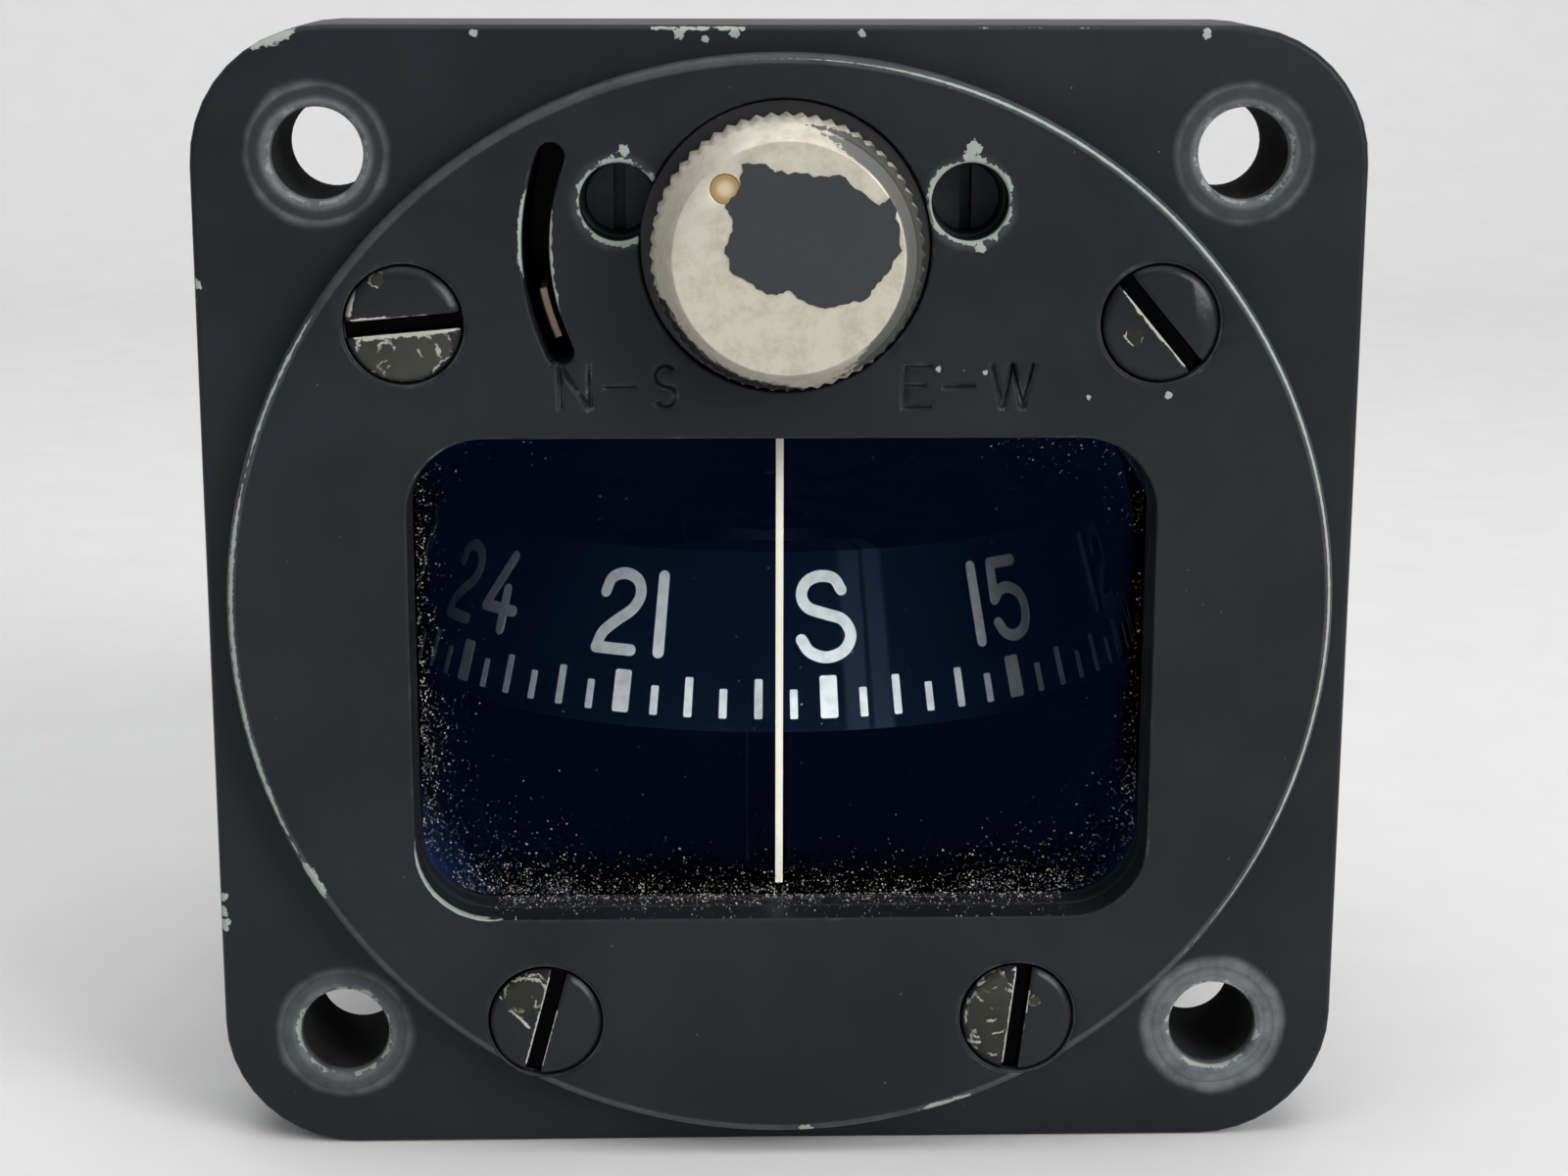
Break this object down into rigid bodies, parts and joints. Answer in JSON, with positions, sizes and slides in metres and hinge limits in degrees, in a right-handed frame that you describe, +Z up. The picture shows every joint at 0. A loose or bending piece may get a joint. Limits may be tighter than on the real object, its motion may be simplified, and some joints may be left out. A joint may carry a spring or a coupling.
{
  "type": "aircraft compass",
  "caption": "Panel compass with a square flange, round bezel, vertical card behind a flat window, lamp cap and keyed deviation correctors, in a round-backed bowl.",
  "frame": {"origin": "centre of the flange's front face, on the bolt pattern's centre", "axes": "+X right as seen from the front, +Y back into the panel, +Z up"},
  "size_m": [0.06, 0.0735, 0.06],
  "materials": {
    "enamel": "satin charcoal paint over light alloy, chipped at the edges",
    "dark_screw": "painted over after fitting, bare at the slots",
    "black_plastic": "black moulded shell",
    "rubber": "matte black",
    "window_glass": "clear flat glass",
    "cream_paint": "matte cream",
    "copper": "dull copper",
    "brass": "machined",
    "jewel": "polished red jewel",
    "steel": "turned",
    "light_alloy": "spun sheet",
    "card_black": "matte blue-black paint with white marks",
    "magnet": "dark cast alloy",
    "clear_plastic": "polished clear block",
    "bulb_glass": "thin clear glass",
    "bare_alloy": "cast alloy, mostly bare, with a patch of dark paint left",
    "dark_alloy": "dark anodised",
    "bakelite": "dark brown moulding"
  },
  "bodies": {
    "root": {"mounting_flange": "enamel", "bezel_plate": "enamel", "bezel_screws": "dark_screw", "window_seal": "rubber", "window_pane": "window_glass", "lubber_line": "cream_paint", "bowl": "black_plastic", "bowl_seal": "rubber", "filler_plug": "brass", "filler_washer": "copper", "pivot_stem": "steel", "jewel_holder": "brass", "jewel_cup": "jewel", "light_guide": "clear_plastic", "corrector_frame": "brass", "bridge_pillars": "brass", "corrector_bridge": "brass", "bridge_screws": "steel", "corrector_posts": "steel", "post_spacers": "brass", "corrector_cover": "enamel", "cover_screws": "steel", "lamp_sleeve": "dark_alloy", "lamp_insulator": "bakelite", "contact_plunger": "brass", "earth_strip": "copper", "live_strip": "copper", "terminal_block": "bakelite", "terminal_screws": "brass", "bellows": "brass", "bellows_cover": "enamel", "bellows_screws": "steel"},
    "pivot_point": {"pivot_ball": "steel"},
    "pivot_shaft": {"pivot_pin": "steel"},
    "card": {"card_spider": "light_alloy", "compass_card": "card_black", "magnet_bell": "light_alloy", "ring_magnet": "magnet"},
    "ns_key": {"ns_spindle": "brass", "ns_pinion": "brass"},
    "ns_upper": {"ns_upper_wheel": "brass", "ns_upper_magnet": "magnet"},
    "ns_lower": {"ns_lower_wheel": "brass", "ns_lower_magnet": "magnet"},
    "ew_key": {"ew_spindle": "brass", "ew_pinion": "brass"},
    "ew_upper": {"ew_upper_wheel": "brass", "ew_upper_magnet": "magnet"},
    "ew_lower": {"ew_lower_wheel": "brass", "ew_lower_magnet": "magnet"},
    "lamp": {"lamp_carrier": "brass", "bulb_base": "brass", "bulb_glass": "bulb_glass"},
    "cap": {"lamp_cap": "bare_alloy", "cap_pin": "brass"},
    "bellows_end": {"bellows_plate": "brass"}
  },
  "joints": [
    {"name": "card_tilt_x", "type": "hinge", "parent": "root", "child": "pivot_point", "pos_m": [0, 0.02802, -0.00449], "axis": [1, 0, 0], "range_deg": [-15, 15]},
    {"name": "card_tilt_y", "type": "hinge", "parent": "pivot_point", "child": "pivot_shaft", "pos_m": [0, 0.02802, -0.00449], "axis": [0, 1, 0], "range_deg": [-15, 15]},
    {"name": "card_turn", "type": "hinge", "parent": "pivot_shaft", "child": "card", "pos_m": [0, 0.02802, -0.00449], "axis": [0, 0, 1], "continuous": true},
    {"name": "ns_key_turn", "type": "hinge", "parent": "root", "child": "ns_key", "pos_m": [-0.0083, 0, 0.02135], "axis": [0, 1, 0], "range_deg": [-180, 180]},
    {"name": "ns_upper_turn", "type": "hinge", "parent": "root", "child": "ns_upper", "pos_m": [-0.0083, 0.025, 0.02135], "axis": [0, 0, 1], "range_deg": [-90, 90]},
    {"name": "ns_lower_turn", "type": "hinge", "parent": "root", "child": "ns_lower", "pos_m": [-0.0083, 0.025, 0.02135], "axis": [0, 0, 1], "range_deg": [-90, 90]},
    {"name": "ew_key_turn", "type": "hinge", "parent": "root", "child": "ew_key", "pos_m": [0.0094, 0, 0.02135], "axis": [0, 1, 0], "range_deg": [-180, 180]},
    {"name": "ew_upper_turn", "type": "hinge", "parent": "root", "child": "ew_upper", "pos_m": [0.0094, 0.025, 0.02135], "axis": [0, 0, 1], "range_deg": [-90, 90]},
    {"name": "ew_lower_turn", "type": "hinge", "parent": "root", "child": "ew_lower", "pos_m": [0.0094, 0.025, 0.02135], "axis": [0, 0, 1], "range_deg": [-90, 90]},
    {"name": "lamp_slide", "type": "slide", "parent": "root", "child": "lamp", "axis": [0, -1, 0], "range_m": [0, 0.003]},
    {"name": "cap_turn", "type": "hinge", "parent": "lamp", "child": "cap", "pos_m": [0.0001, 0, 0.0191], "axis": [0, -1, 0], "range_deg": [0, 1441]},
    {"name": "bellows_breath", "type": "slide", "parent": "root", "child": "bellows_end", "axis": [0, 1, 0], "range_m": [-0.0008, 0.0008], "stiffness_N_per_m": 400, "deforming": ["bellows"]}
  ],
  "couplings": [
    {"joint": "ns_upper_turn", "follows": "ns_key_turn", "ratio": 0.5},
    {"joint": "ns_lower_turn", "follows": "ns_key_turn", "ratio": -0.5},
    {"joint": "ew_upper_turn", "follows": "ew_key_turn", "ratio": 0.5},
    {"joint": "ew_lower_turn", "follows": "ew_key_turn", "ratio": -0.5},
    {"joint": "cap_turn", "follows": "lamp_slide", "rad_per_m": 8377.6}
  ]
}
